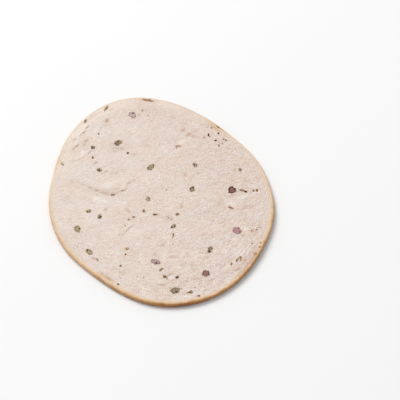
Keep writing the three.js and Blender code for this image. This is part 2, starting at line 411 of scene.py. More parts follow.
# The rim's browning, as judged: a faint one all round, and stretches where it is stronger, each with its
# middle side, strength and spread. On the far side it stays pale, and the meat next to it, on the lamp's
# side, is painted paler: painted light for the glow through the thin edge.
ROAST_FAINT = 0.1
ROASTED = [
    (-90, 0.5, 70), (-97, 0.3, 7), (-62, 0.1, 14), (-35, 0.15, 10), (38, 0.4, 7), (141, 0.2, 5),
    (-175, 0.1, 15),
]
# Painted light: the side where the meat by the rim is painted paler, for light glowing through the thin edge,
# and how far in that fades.
PAINTED_GLOW_SIDES = [(105, 0.55, 50)]
PAINTED_GLOW_REACH = (3, 11)
angle = np.arctan2(y, x)
from_rim = np.maximum(0, rim_radius(angle) - np.hypot(x, y))


def round_the_rim(angle, stretches):
    """The sum of some stretches of the rim, each strongest on its own side."""
    total = 0
    for side, strength, reach in stretches:
        total = total + strength * np.exp(-(angle_between(angle, side) / reach) ** 2)
    return total


_, furrow_tint_and_shade = furrow_relief(x, y)
face = cut_face_height(x, y)
coarse = smooth_step(along_heading(x, y, COARSE_SIDE), *COARSE_REACH)
open_face = (height > face - THICKNESS / 2) * (from_rim > RELIEF_STOPS)
weigh_group(turkey, "coarse_face", open_face * (COARSE_LEAST + (1 - COARSE_LEAST) * coarse))
write_attribute(turkey, "coarse", coarse)
write_attribute(turkey, "rosy", smooth_step(along_heading(x, y, ROSY_SIDE), *ROSY_REACH))
write_attribute(turkey, "from_rim", from_rim)
write_attribute(turkey, "roast", ROAST_FAINT + round_the_rim(angle, ROASTED))
# Painted light: the meat by the far rim, towards the lamp, is painted paler.
write_attribute(turkey, "pale", round_the_rim(angle, PAINTED_GLOW_SIDES) * (1 - smooth_step(from_rim, *PAINTED_GLOW_REACH)))
write_attribute(turkey, "furrow", furrow_tint_and_shade)
write_attribute(turkey, "down", np.clip((face - height) / THICKNESS, 0, 1))

# Stains in the meat, by kind: middle, width, length, turn and strength. Pink ones are blood or juice of pink
# pepper, and tan ones spice. Pale ones are partly fat or drier meat and partly painted highlight, on the
# bulge above the seam and on ridges near the rim. Grey ones are partly dark specks and partly painted shade,
# under and round the peppercorns and along the seam.
PINK_STAINS = [
    (24.7, 37.6, 3.4, 2.2, 30, 0.9), (28.8, 31.5, 3.4, 2.8, -40, 0.55), (30.6, 30.2, 2.2, 1.8, 0, 0.36),
    (31.2, 35.2, 1.6, 2.6, -40, 0.32), (33.8, 28.9, 1.4, 2.6, -30, 0.35), (41, 21.8, 3.2, 3, 30, 0.45),
    (39.3, 20.5, 1.2, 2.2, -15, 0.9), (43.4, 24.1, 1.1, 1.6, -20, 0.9), (44.3, 23, 1, 1.4, 20, 0.81),
    (-13.3, 19.6, 2.6, 2.6, 0, 0.32), (-27, -36.4, 1.2, 2.8, -35, 0.5), (-17.6, -8.6, 1.8, 3.6, 20, 0.77),
    (-18.6, -7, 1.8, 1.6, 0, 0.36), (-14.2, -7, 1.4, 1.4, 0, 0.41), (-28.2, -4.4, 1.9, 2.2, 0, 0.85),
    (-26.3, -3.6, 1.4, 1.6, 0, 0.36), (-46, -6, 2.2, 3.4, 0, 0.27), (26, -17, 7, 5, 0, 0.18),
    (39, -24.6, 8, 3.4, -5, 0.32), (30.2, -41.5, 1.6, 1.6, 0, 0.81), (23.5, -30.5, 2.6, 1.6, 0, 0.27),
    (-5, -43, 4.8, 1.6, -15, 0.45), (-7.8, -34.7, 2, 1.7, 0, 0.77), (-35, 42, 10, 13, -30, 0.14),
    (7.2, -62, 4.4, 1.5, 0, 0.32), (16.3, 6, 1.7, 2.6, -15, 0.41), (25.6, 7, 3, 1.8, 0, 0.27),
    (5.6, 56, 2.2, 2.8, 0, 0.7), (-6.2, 36.4, 2.6, 1.8, 0, 0.32), (3.4, 32.6, 3, 1.6, -15, 0.45),
    (-4, 28, 4.4, 2.4, 20, 0.54), (50.2, -8, 1.8, 1.6, 0, 0.32), (-6.6, -65.6, 1.8, 1.2, 0, 0.54),
    (20.4, -51.2, 2.4, 1.4, 0, 0.32), (-27, 8, 13, 3.6, -42, 0.14), (-25, 28.1, 2.6, 1.6, 10, 0.35),
    (-31.6, 42.8, 5, 1.4, 38, 0.3), (-26, 45, 3.4, 1.4, 36, 0.25), (-16, -58, 76, 22, 4, 0.07),
    (20, 57, 40, 18, -26, 0.15), (-47, -22, 18, 54, 12, 0.06), (-22, 34, 18, 16, 0, 0.05),
]
TAN_STAINS = [
    (-12, 56.8, 1.9, 3.5, -30, 1), (26.8, 33.6, 3.8, 1.9, 22, 0.95), (18.9, 26.8, 4, 2.4, -15, 0.35),
    (41.6, 34.6, 2.4, 9, 27, 0.85), (43.3, 33.6, 1.2, 2.2, 20, 1), (-16.3, -13.4, 2.4, 1.6, -30, 0.35),
    (-19, -14.2, 2.2, 1.8, 0, 0.65), (-5.4, -15.3, 4, 2, -20, 0.35), (8.5, -12.7, 1.3, 3.4, -32, 0.55),
    (-0.3, -19, 3.6, 3.2, 0, 0.25), (36, -40.2, 3.2, 2.4, 0, 0.65), (37.6, -36.6, 2.4, 2, 0, 0.35),
    (20.4, -40.1, 2.4, 1, 0, 0.5), (-22.3, 3.8, 3.2, 1.4, 0, 0.55), (24, -54.5, 4.6, 3.2, 25, 0.3),
    (-24.6, -31.4, 2.8, 2.4, 0, 0.3), (-23, 59.2, 2.8, 4, -38, 0.3), (-9.6, 66.2, 3, 5, -38, 0.35),
    (-41.8, 32.4, 2.2, 3.4, 10, 0.4), (45.6, -15.3, 4.2, 1.8, -10, 0.45),
    (40.2, -13.6, 4.8, 2.6, -30, 0.35), (41.6, 1, 2, 1.6, 0, 0.35), (-37.8, -46.2, 2.3, 6, 35, 0.95),
    (-39.9, -42.8, 1.6, 3.6, 33, 0.7), (32, -54, 2.6, 2, 40, 1), (35.6, -51, 2.2, 1.6, 40, 0.8),
    (-3.6, -65.9, 4, 2.4, 0, 0.35), (16.1, 5.9, 1.6, 2.8, -15, 0.5), (40, 36.5, 5, 14, 30, 0.12),
    (-9.4, -52.9, 3, 1.2, 10, 0.4), (7.8, -14.2, 1.2, 1.9, -32, 1), (-17, 62.5, 16, 1.6, 27, 0.22),
    (-43.2, 37.6, 1.4, 5, -22, 0.6), (10, 64.6, 13, 4, -9, 0.16), (13.4, 65.5, 2.2, 10, 60, 0.8),
]
PALE_STAINS_AND_HIGHLIGHTS = [
    (23.4, -53.4, 10, 3.4, 38, 0.7), (29, -49, 6, 1.8, 38, 0.2), (17.6, -56.8, 6, 1.8, 25, 0.55),
    (25, -50.4, 6, 1.6, 35, 0.55), (-9.4, -54.4, 3.4, 1.6, 10, 0.9), (-14, -55, 5, 1.4, -5, 0.5),
    (-3.2, -66.9, 8, 2, 8, 0.7), (-11, -66.2, 5, 1.4, -12, 0.4), (32, -19.6, 4, 5.6, 60, 0.7),
    (38, -17.4, 6, 3, 10, 0.6), (46.6, -12.3, 4, 2.4, 0, 0.55), (32.6, 38.8, 2.6, 3, 0, 0.35),
    (21.6, 59, 3, 14, 52, 0.45), (33.2, -38, 3, 3.4, 0, 0.5), (21.6, 29.4, 3.2, 5, -60, 0.8),
    (18.8, 24.3, 3.4, 2, 0, 0.45), (-29.4, 2.8, 3.6, 8.4, 52, 0.55), (-26.4, 0.2, 5, 3, -30, 0.4),
    (-24.4, 11.4, 3.6, 6.6, 80, 0.5), (-27.6, 53, 3, 10, -44, 0.6), (-31.4, 45.4, 1.8, 8, -42, 0.55),
    (-31, 36.4, 6, 3, 25, 0.5), (-19.6, 51.6, 2, 8, -40, 0.5), (-35.4, 44, 1.8, 7, -40, 0.5),
    (22, 15, 8, 3, -10, 0.35), (-0.9, -55.7, 5, 2.2, 0, 0.5), (12, -28, 12, 4, 5, 0.2),
]
# Partly painted shade: under the double peppercorn, round a few peppercorns and along the seam.
GREY_STAINS_AND_SHADE = [
    (-11.4, 35, 7.4, 3.6, -15, 0.7), (-11.6, 37, 9, 8, 0, 0.3), (-13.6, 33.4, 4.4, 2.4, 0, 0.6),
    (1.1, 16.9, 4.4, 6, -40, 0.2), (35.2, -11.7, 6, 6.4, 0, 0.2), (-10.2, -62.4, 6.2, 5, 0, 0.25),
    (-25.6, 8, 24, 5.4, -33, 0.2), (8.3, 58.8, 2, 1.8, 0, 0.6), (21.6, 48.4, 3.4, 2.4, 0, 0.35),
    (28, 43, 4, 2, 0, 0.25), (39.9, 34.5, 1.4, 1.3, 0, 1), (22.8, 4.7, 2.4, 1.4, -10, 1),
    (42.6, 4.3, 1, 1.6, -20, 0.8), (-22, 19.6, 6, 2.4, 0, 0.12), (-18, 18.6, 4, 3, 0, 0.25),
    (12.5, -35, 2, 1.2, 0, 0.5), (12.7, -44.5, 5.4, 6.6, -20, 0.25), (-29, -44.8, 6, 3.4, -20, 0.15),
    (27, -58.4, 14, 2.6, 38, 0.3),
]

# How abruptly a stain ends: 1 fades like a bell, and more gives a flatter middle and a sharper edge.
STAIN_EDGE = 1.3


def stain_mask(x, y, stains):
    """How strong a kind of stain is at each place."""
    mask = np.zeros(len(x))
    for middle_x, middle_y, width, length, turn, strength in stains:
        c = math.cos(math.radians(turn))
        s = math.sin(math.radians(turn))
        across = ((x - middle_x) * c + (y - middle_y) * s) / (width / 2)
        along = ((y - middle_y) * c - (x - middle_x) * s) / (length / 2)
        mask = np.maximum(mask, strength * np.exp(-(across ** 2 + along ** 2) ** STAIN_EDGE))
    return mask


for name, stains in (("pink_stain", PINK_STAINS), ("tan_stain", TAN_STAINS), ("grey_stain_and_shade", GREY_STAINS_AND_SHADE),
                     ("pale_stain_and_highlight", PALE_STAINS_AND_HIGHLIGHTS)):
    write_attribute(turkey, name, stain_mask(x, y, stains))

# The relief of the cut face: long strands, finer fibres and a little lumpiness, and wrinkles in the rind.
roughen(turkey, "strand_relief", size=1.3, height=0.2, group="coarse_face")
roughen(turkey, "fibre_relief", size=0.7, height=0.12, group="coarse_face")
roughen(turkey, "lump_relief", size=0.006, height=0.2, group="cut_face", coords="LOCAL")
roughen(turkey, "rind_wrinkles", size=0.0022, height=0.14, group="rim", direction="NORMAL", coords="LOCAL")
roughen(turkey, "rind_pores", size=0.0007, height=0.1, group="rim", direction="NORMAL", coords="LOCAL")
bpy.ops.object.shade_smooth()


def linear(red, green, blue):
    """A colour of the screen, 0 to 255, as the shader's own."""
    parts = []
    for value in (red, green, blue):
        share = value / 255
        parts.append(share / 12.92 if share <= 0.04045 else ((share + 0.055) / 1.055) ** 2.4)
    return (*parts, 1)


def put(socket, value):
    """Gives a socket its value, or links it to the socket that the value comes from."""
    if isinstance(value, bpy.types.NodeSocket):
        socket.id_data.links.new(value, socket)
    else:
        socket.default_value = value


def add_node(tree, kind, settings=None, **inputs):
    made = tree.nodes.new(kind)
    for name, value in (settings or {}).items():
        setattr(made, name, value)
    for name, value in inputs.items():
        put(made.inputs[name.replace("_", " ")], value)
    return made


def calc(tree, operation, *values, clamp=False):
    """The outcome of a sum on one, two or three numbers."""
    made = tree.nodes.new("ShaderNodeMath")
    made.operation = operation
    made.use_clamp = clamp
    for socket, value in zip(made.inputs, values):
        put(socket, value)
    return made.outputs[0]


def mixed(tree, share, first, second, how="MIX"):
    """Two colours mixed by a share. A Mix node's colours are its inputs 6 and 7 and its output 2."""
    made = tree.nodes.new("ShaderNodeMix")
    made.data_type = "RGBA"
    made.blend_type = how
    put(made.inputs["Factor"], share)
    put(made.inputs[6], first)
    put(made.inputs[7], second)
    return made.outputs[2]


def spread(tree, value, low, high, new_low=0.0, new_high=1.0):
    """A value between two bounds, stretched smoothly to two others."""
    made = add_node(tree, "ShaderNodeMapRange", {"interpolation_type": "SMOOTHSTEP"}, Value=value,
                    From_Min=low, From_Max=high, To_Min=new_low, To_Max=new_high)
    return made.outputs["Result"]


def colour_ramp(tree, share, stops):
    """A colour picked from a row of (place, colour) stops."""
    made = tree.nodes.new("ShaderNodeValToRGB")
    elements = made.color_ramp.elements
    while len(elements) < len(stops):
        elements.new(0.5)
    for element, (place, colour) in zip(elements, stops):
        element.position = place
        element.color = linear(*colour)
    put(made.inputs["Fac"], share)
    return made.outputs["Color"]


def noise(tree, vector, scale, detail=2.0, rough=0.5, twist=0.0):
    made = add_node(tree, "ShaderNodeTexNoise", Vector=vector, Scale=scale, Detail=detail, Roughness=rough,
                    Distortion=twist)
    return made.outputs["Fac"]


def attribute(tree, name):
    return add_node(tree, "ShaderNodeAttribute", {"attribute_name": name}).outputs["Fac"]


def in_object(tree):
    return tree.nodes.new("ShaderNodeTexCoord").outputs["Object"]


def new_group(name, inputs, outputs):
    """An empty shader node group, with its named sockets."""
    tree = bpy.data.node_groups.new(name, "ShaderNodeTree")
    for socket, kind in inputs.items():
        tree.interface.new_socket(socket, in_out="INPUT", socket_type=kind)
    for socket, kind in outputs.items():
        tree.interface.new_socket(socket, in_out="OUTPUT", socket_type=kind)
    return tree, tree.nodes.new("NodeGroupInput").outputs, tree.nodes.new("NodeGroupOutput").inputs


def place_group(tree, group, **inputs):
    made = tree.nodes.new("ShaderNodeGroup")
    made.node_tree = group
    for name, value in inputs.items():
        put(made.inputs[name.replace("_", " ")], value)
    return made.outputs


def clear_material(material):
    """An empty node tree of a material, with its shader linked to the output."""
    material.use_nodes = True
    tree = material.node_tree
    tree.nodes.clear()
    shader = tree.nodes.new("ShaderNodeBsdfPrincipled")
    output = tree.nodes.new("ShaderNodeOutputMaterial")
    tree.links.new(shader.outputs[0], output.inputs["Surface"])
    return tree, shader.inputs


def bumped(tree, height, depth):
    """A normal bent by a height that varies between 0 and 1, over a depth in millimetres."""
    made = add_node(tree, "ShaderNodeBump", Strength=1.0, Distance=depth * MM, Height=height)
    return made.outputs["Normal"]


def shaded(tree, colour, weights, *parts):
    """A colour shaded by (value, share) pairs, each value about a half, with a weight for each channel."""
    shade = 0.0
    for value, share in parts:
        shade = calc(tree, "MULTIPLY_ADD", calc(tree, "SUBTRACT", value, 0.5), share, shade)
    channels = [calc(tree, "MULTIPLY_ADD", shade, weight, 1.0) for weight in weights]
    light = add_node(tree, "ShaderNodeCombineColor", **dict(zip(("Red", "Green", "Blue"), channels)))
    return mixed(tree, 1.0, colour, light.outputs["Color"], "MULTIPLY")


# Meat grain: strands along the map and a fine mottle of cut fibre ends, for the cut faces and the rind.
meat_grain, given, out = new_group(
    "meat_grain",
    {"Map": "NodeSocketVector", "Place": "NodeSocketVector", "Mottle Size": "NodeSocketFloat"},
    {"Strand": "NodeSocketFloat", "Mottle": "NodeSocketFloat", "Height": "NodeSocketFloat"})
strand = spread(meat_grain, noise(meat_grain, given["Map"], 0.9, 3, 0.6, 0.4), 0.3, 0.7)
mottle_scale = calc(meat_grain, "DIVIDE", 1, given["Mottle Size"])
mottle = spread(meat_grain, noise(meat_grain, given["Place"], mottle_scale, 3, 0.6), 0.3, 0.7)
put(out["Strand"], strand)
put(out["Mottle"], mottle)
put(out["Height"], calc(meat_grain, "ADD", calc(meat_grain, "MULTIPLY", strand, 0.6),
                        calc(meat_grain, "MULTIPLY", mottle, 0.4)))

# Browning: the roast creeps in from the rim, by a reach in millimetres that is shorter where the roast is
# full, and is strongest low on the rind, partly painted shade where the wall meets the table.
BROWN_REACH = 1.7
BROWN_REACH_LOST = 0.5
BROWN_FALL = 1.6
BROWN_AND_SHADE_BELOW = 0.9
browning, given, out = new_group(
    "browning",
    {"Distance": "NodeSocketFloat", "Roast": "NodeSocketFloat", "Down": "NodeSocketFloat",
     "Place": "NodeSocketVector"},
    {"Cover": "NodeSocketFloat", "Colour": "NodeSocketColor"})
patchy = spread(browning, noise(browning, given["Place"], 260, 3, 0.6), 0.25, 0.75, 0.8, 1.2)
reach = calc(browning, "MULTIPLY_ADD", given["Roast"], -BROWN_REACH_LOST, BROWN_REACH)
reach = calc(browning, "MULTIPLY", patchy, reach)
faded = calc(browning, "POWER", calc(browning, "DIVIDE", given["Distance"], reach), BROWN_FALL)
amount = calc(browning, "POWER", math.e, calc(browning, "MULTIPLY", faded, -1))
# Low on the rind the heat grows, partly painted shade where the wall meets the table.
amount = calc(browning, "MULTIPLY_ADD", calc(browning, "POWER", given["Down"], 3), BROWN_AND_SHADE_BELOW, amount)
heat = calc(browning, "MULTIPLY", calc(browning, "MULTIPLY", given["Roast"], amount), patchy, clamp=True)
put(out["Cover"], spread(browning, heat, 0, 0.2))
put(out["Colour"], colour_ramp(browning, heat, [
    (0, (230, 200, 160)), (0.1, (229, 200, 165)), (0.2, (224, 193, 159)), (0.3, (214, 179, 140)),
    (0.4, (205, 165, 120)), (0.54, (186, 137, 84)), (0.8, (160, 104, 48)), (1, (138, 82, 32))]))

# A shade takes the most from blue and the least from red, so that the darker meat is also warmer.
WARM_SHADE = (0.85, 1, 1.15)
WARMER_SHADE = (0.7, 1, 1.35)


def grained_material(name, mottle):
    """A material cleared and given the meat's grain: its tree, its shader, the place and the grain."""
    tree, shader = clear_material(turkey.data.materials[name])
    place = in_object(tree)
    strands = add_node(tree, "ShaderNodeUVMap", {"uv_map": "strands"}).outputs["UV"]
    grain = place_group(tree, meat_grain, Map=strands, Place=place, Mottle_Size=mottle * MM)
    return tree, shader, place, grain


# The meat of the cut faces: paler strands, pinkish gaps, fine mottle, stains, browned edge and dark furrows.
tree, shader, place, grain = grained_material("turkey_meat", 0.5)
clouds = spread(tree, noise(tree, place, 130, 3, 0.6), 0.3, 0.7)
coarse = attribute(tree, "coarse")
paler = mixed(tree, clouds, linear(224, 206, 194), linear(223, 208, 196))
rosier = mixed(tree, clouds, linear(221, 201, 189), linear(219, 202, 190))
colour = mixed(tree, attribute(tree, "rosy"), paler, rosier)
mottle_share = calc(tree, "MULTIPLY_ADD", coarse, 0.14, 0.35)
strand_share = calc(tree, "MULTIPLY_ADD", coarse, 0.12, 0.14)
colour = shaded(tree, colour, WARM_SHADE, (grain["Mottle"], mottle_share))
colour = shaded(tree, colour, WARMER_SHADE, (grain["Strand"], strand_share), (clouds, 0.06))
tinge = add_node(tree, "ShaderNodeTexNoise", Vector=place, Scale=190, Detail=4, Roughness=0.75)
tinge = add_node(tree, "ShaderNodeSeparateColor", Color=tinge.outputs["Color"]).outputs
colour = shaded(tree, colour, (1, 0, 0), (tinge["Red"], 0.125))
colour = shaded(tree, colour, (0, 0.2, 1), (tinge["Blue"], 0.28))
# Painted light: the meat by the far rim, on the lamp's side, is mixed towards a paler cream.
colour = mixed(tree, attribute(tree, "pale"), colour, linear(242, 228, 214))
breakup = spread(tree, noise(tree, place, 900, 3, 0.65), 0.25, 0.7, 0.5, 1)
# The stains are mixed in. The grey kind is partly painted shade, and the pale kind partly painted highlight.
for name, tint in (("pale_stain_and_highlight", (240, 231, 222)), ("grey_stain_and_shade", (184, 168, 156)),
                   ("pink_stain", (188, 146, 128)), ("tan_stain", (185, 137, 98))):
    stained = calc(tree, "MULTIPLY", attribute(tree, name), breakup, clamp=True)
    colour = mixed(tree, stained, colour, linear(*tint))
edge = place_group(tree, browning, Distance=attribute(tree, "from_rim"), Roast=attribute(tree, "roast"),
                   Place=place)
colour = mixed(tree, edge["Cover"], colour, edge["Colour"])
# The furrows' darkening is partly their own reddish colour and partly painted shade in the grooves.
shaded_furrow = calc(tree, "MULTIPLY", attribute(tree, "furrow"), breakup, clamp=True)
colour = mixed(tree, shaded_furrow, colour, linear(160, 116, 86))
put(shader["Base Color"], colour)
put(shader["Roughness"], spread(tree, grain["Mottle"], 0, 1, 0.42, 0.56))
put(shader["Normal"], bumped(tree, grain["Height"], 0.12))

# The rind: the roasted outside of the breast, pale where it was turned from the heat and dark brown below,
# partly painted shade along its lower edge.
tree, shader, place, grain = grained_material("turkey_rind", 0.7)
edge = place_group(tree, browning, Distance=0.0, Roast=attribute(tree, "roast"),
                   Down=attribute(tree, "down"), Place=place)
colour = shaded(tree, linear(240, 224, 206), WARM_SHADE, (grain["Mottle"], 0.2))
colour = mixed(tree, edge["Cover"], colour, edge["Colour"])
pores = calc(tree, "MULTIPLY", spread(tree, grain["Mottle"], 0.5, 0), 0.4)
pores = calc(tree, "MULTIPLY", pores, edge["Cover"])
colour = mixed(tree, pores, colour, linear(140, 90, 48))
put(shader["Base Color"], colour)
put(shader["Roughness"], spread(tree, grain["Mottle"], 0, 1, 0.4, 0.58))
put(shader["Normal"], bumped(tree, grain["Height"], 0.1))

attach(turkey, "root")
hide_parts("turkey_slice")

# The peppercorns
# Whole pink and green peppercorns were mixed into the meat before it was cooked, and the slicer has cut them
# level with it. Each shows a thin dark skin round a paler, crumbly core, and the larger ones go right through
# the slice.
PINK_PEPPERCORNS = [
    # middle x and y, width, length, turn, and how dark it is
    (2.2, 57.1, 4.1, 5, 30, 0.1), (23, 11.2, 2.4, 3.5, 2, 0.18), (35.2, -11.7, 4.1, 4.7, -70, 1.0),
    (28.7, -37.4, 4.3, 4.9, 0, 0.48), (6.3, -57.5, 3.7, 4, -64, 0.78), (-14, -43.4, 3.1, 4.8, 54, 0.22),
    (35.5, -10.1, 2.2, 2.3, 0, 0.7),
]
GREEN_PEPPERCORNS = [
    # middle x and y, width, length, turn, and how dark it is
    (-11.1, 38.8, 3, 3.8, -10, 0.42), (-9.7, 39.4, 2.6, 3.4, 20, 0.4), (0.9, 16.5, 3, 4.9, -49, 0.22),
    (16.4, -4.7, 2.6, 3.3, -14, 0.42), (-10.1, -62.4, 3.5, 4.7, 86, 0.52),
    (12, -45.4, 1.7, 2.1, 10, 0.48), (13, -43.9, 2.4, 1.9, 20, 0.42), (-44.4, -12.6, 3.1, 4.8, 8, 0.2),
    (-42.2, -28.2, 2.8, 4.4, 24, 0.16), (-32.1, -8, 2.2, 3.1, -34, 0.25),
    (-36.4, -2.9, 2.1, 2.8, 90, 0.02), (-24.7, 22.7, 2.2, 2.9, 45, 0.08), (-6.4, -4, 2.5, 3, -18, 0.02),
    (0.4, -25.1, 2.2, 3.2, -64, 0.2), (-23.9, 39.6, 2.3, 2.5, -43, 0.42),
    (43.8, 0.3, 1.8, 2.4, -18, 0.22), (17.2, -3.6, 1.3, 1.7, -20, 0.3),
]
PEPPERCORN_PROUD = 0.26
THROUGH_SIZE = 2.9
SMALL_DEPTH = 1.0

# The ball that they are cut from, in shares of a peppercorn's width.
BALL_SEGMENTS = 28
BALL_RINGS = 14
BALL_RADIUS = 0.52
HALF_CUT = 0.27
SKIN_WIDTH = 0.12
SKIN_STARTS = 0.36
CORE_SUNK = 0.01
CORE_RINGS = 3
CORE_RING_WIDTH = 0.0701

# How much each one differs: its outline, its skin's tone round the edge, its tone from point to point, and
# how deep the core's crumb goes for that tone, which grows from the edge inwards.
OUTLINE_UNEVEN = (0.03, 0.09)
SKIN_UNEVEN = (0.06, 0.16)
CRUMB_TONE = 0.035
CRUMB_DEPTH = 1.5
CRUMB_GROWS = 2.4
SMOOTH_UNDER = 40


def select_faces(piece, wanted):
    """Selects, in edit mode, the faces that a test picks out, and nothing else."""
    shape = bmesh.from_edit_mesh(piece.data)
    for face in shape.faces:
        face.select_set(False)
    for face in shape.faces:
        if wanted(face):
            face.select_set(True)
    bmesh.update_edit_mesh(piece.data)


def cut_peppercorn(name):
    """A ball cut level above and below, one unit across, with a ring of skin round each crumbly core."""
    deselect_all()
    bpy.ops.mesh.primitive_uv_sphere_add(segments=BALL_SEGMENTS, ring_count=BALL_RINGS, radius=BALL_RADIUS)
    ball = bpy.context.object
    ball.name = name
    ball.data.materials.append(bpy.data.materials.new(name + "_skin"))
    ball.data.materials.append(bpy.data.materials.new(name + "_core"))
    bpy.ops.object.mode_set(mode="EDIT")
    for side in (1, -1):
        bpy.ops.mesh.select_all(action="SELECT")
        bpy.ops.mesh.bisect(plane_co=(0, 0, side * HALF_CUT), plane_no=(0, 0, side), use_fill=True,
                            clear_outer=True)
        select_faces(ball, lambda face: face.normal.z * side > 0.99)
        bpy.ops.mesh.inset(thickness=SKIN_WIDTH)
        bpy.ops.mesh.inset(thickness=SKIN_WIDTH / 3, depth=-CORE_SUNK)
        ball.active_material_index = 1
        bpy.ops.object.material_slot_assign()
        for _ in range(CORE_RINGS):
            bpy.ops.mesh.inset(thickness=CORE_RING_WIDTH)
        bpy.ops.mesh.poke()
    bpy.ops.mesh.select_all(action="SELECT")
    bpy.ops.mesh.normals_make_consistent(inside=False)
    bpy.ops.object.mode_set(mode="OBJECT")
    return ball


def linked_copy(model):
    copy = model.copy()
    copy.data = model.data.copy()
    bpy.context.collection.objects.link(copy)
    return copy


def join_copies(copies, model, name):
    """One piece of all the copies, under a name of its own, and without the model."""
    bpy.data.objects.remove(model)
    deselect_all()
    for copy in copies:
        copy.select_set(True)
    bpy.context.view_layer.objects.active = copies[0]
    bpy.ops.object.join()
    joined = bpy.context.object
    joined.name = name
    return joined


def drawn_waves(draw, around, heights, crests):
    """The sum of a few waves round a piece, each with a drawn height and a drawn first crest."""
    return sum(draw.uniform(*heights) * np.cos(number * around + draw.uniform(0, 2 * math.pi))
               for number in crests)


def turned_to(across, along, middle_x, middle_y, turn):
    """Where points across and along a piece come to lie, with the piece turned and set on its middle."""
    c = math.cos(math.radians(turn))
    s = math.sin(math.radians(turn))
    return middle_x + across * c - along * s, middle_y + across * s + along * c


def set_in_meat(model, rows, name, seed):
    """Sets a copy of the model in the meat at each row's place, each a little different, and joins them."""
    draw = random.Random(seed)
    copies = []
    for middle_x, middle_y, width, length, turn, tone in rows:
        copy = linked_copy(model)
        unit = coordinates(copy, unit=1)
        around = np.arctan2(unit[:, 1], unit[:, 0])
        from_middle = np.hypot(unit[:, 0], unit[:, 1])
        outline = 1 + drawn_waves(draw, around, OUTLINE_UNEVEN, (2, 3, 5, 6, 9))
        burnt = drawn_waves(draw, around, SKIN_UNEVEN, (1, 3, 5, 8)) * (from_middle > SKIN_STARTS)
        crumb = np.array([draw.uniform(-1, 1) for _ in unit]) * CRUMB_TONE
        across = unit[:, 0] * outline * width
        along = unit[:, 1] * outline * length
        px, py = turned_to(across, along, middle_x, middle_y, turn)
        top = cut_face_height(px, py) + PEPPERCORN_PROUD
        goes_through = max(width, length) > THROUGH_SIZE
        bottom = underside_height(px, py) if goes_through else top - SMALL_DEPTH
        level = (unit[:, 2] + HALF_CUT) / (2 * HALF_CUT)
        inside = np.clip(CRUMB_GROWS * (0.5 - from_middle), 0, 1)
        pz = bottom + (top - bottom) * level - np.abs(crumb) * inside * CRUMB_DEPTH * np.sign(level - 0.5)
        move_points(copy, np.stack([px, py, pz], axis=1))
        write_attribute(copy, "tone", np.clip(tone + crumb + burnt, 0, 1))
        copies.append(copy)
    joined = join_copies(copies, model, name)
    bpy.ops.object.shade_smooth_by_angle(angle=math.radians(SMOOTH_UNDER))
    return joined


# Pepper mottle: the wrinkles of the skins and the crumb of the cores.
pepper_mottle, given, out = new_group(
    "pepper_mottle",
    {"Place": "NodeSocketVector", "Size": "NodeSocketFloat"},
    {"Patch": "NodeSocketFloat", "Height": "NodeSocketFloat"})
patch_scale = calc(pepper_mottle, "DIVIDE", 1, given["Size"])
put(out["Patch"], spread(pepper_mottle, noise(pepper_mottle, given["Place"], patch_scale, 3, 0.6), 0.3, 0.7))
wrinkle_scale = calc(pepper_mottle, "MULTIPLY", patch_scale, 2)
put(out["Height"], noise(pepper_mottle, given["Place"], wrinkle_scale, 3, 0.6))


def pepper_material(name, stops, patch_stops, patch_share, patch_size, shine):
    """Gives a pepper material a ramp of tones and patches of a second ramp, sized in millimetres."""
    tree, shader = clear_material(bpy.data.materials[name])
    tone = attribute(tree, "tone")
    mottled = place_group(tree, pepper_mottle, Place=in_object(tree), Size=patch_size * MM)
    share = calc(tree, "MULTIPLY", mottled["Patch"], patch_share)
    colour = mixed(tree, share, colour_ramp(tree, tone, stops), colour_ramp(tree, tone, patch_stops))
    put(shader["Base Color"], colour)
    put(shader["Roughness"], spread(tree, mottled["Patch"], 0, 1, 0.45, 0.6))
    put(shader["Specular IOR Level"], shine)
    put(shader["Normal"], bumped(tree, mottled["Height"], 0.1))


PINK_SKIN = [(0, (172, 142, 138)), (0.2, (150, 126, 124)), (0.45, (170, 128, 134)), (0.8, (108, 66, 58)),
             (1, (76, 34, 36))]
PINK_CORE = [(0, (209, 187, 180)), (0.2, (179, 156, 151)), (0.45, (182, 140, 145)), (0.8, (152, 108, 98)),
             (1, (128, 76, 72))]
PINK_PATCH = [(0, (214, 195, 188)), (0.2, (160, 138, 134)), (0.45, (170, 126, 132)), (0.8, (120, 76, 66)),
              (1, (146, 98, 84))]
pink_model = cut_peppercorn("pink_peppercorn")
pepper_material("pink_peppercorn_skin", PINK_SKIN, PINK_CORE, patch_share=0.7, patch_size=1.0, shine=0.3)
pepper_material("pink_peppercorn_core", PINK_CORE, PINK_PATCH, patch_share=0.6, patch_size=0.6, shine=0.3)
pink_pepper = set_in_meat(pink_model, PINK_PEPPERCORNS, "pink_peppercorns", 5)
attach(pink_pepper, "root")

GREEN_SKIN = [(0, (156, 139, 100)), (0.25, (132, 113, 80)), (0.5, (108, 88, 65)), (0.75, (84, 65, 48)),
              (1, (52, 40, 28))]
GREEN_CORE = [(0, (202, 186, 152)), (0.25, (184, 166, 132)), (0.5, (170, 149, 122)), (0.65, (162, 139, 118)),
              (1, (126, 104, 84))]
GREEN_PATCH = [(0, (146, 127, 86)), (0.25, (116, 98, 64)), (0.5, (104, 84, 62)), (1, (68, 52, 40))]
green_model = cut_peppercorn("green_peppercorn")
pepper_material("green_peppercorn_skin", GREEN_SKIN, GREEN_CORE, patch_share=0.7, patch_size=0.9, shine=0.3)
pepper_material("green_peppercorn_core", GREEN_CORE, GREEN_PATCH, patch_share=0.8, patch_size=0.7, shine=0.3)
green_pepper = set_in_meat(green_model, GREEN_PEPPERCORNS, "green_peppercorns", 9)
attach(green_pepper, "root")

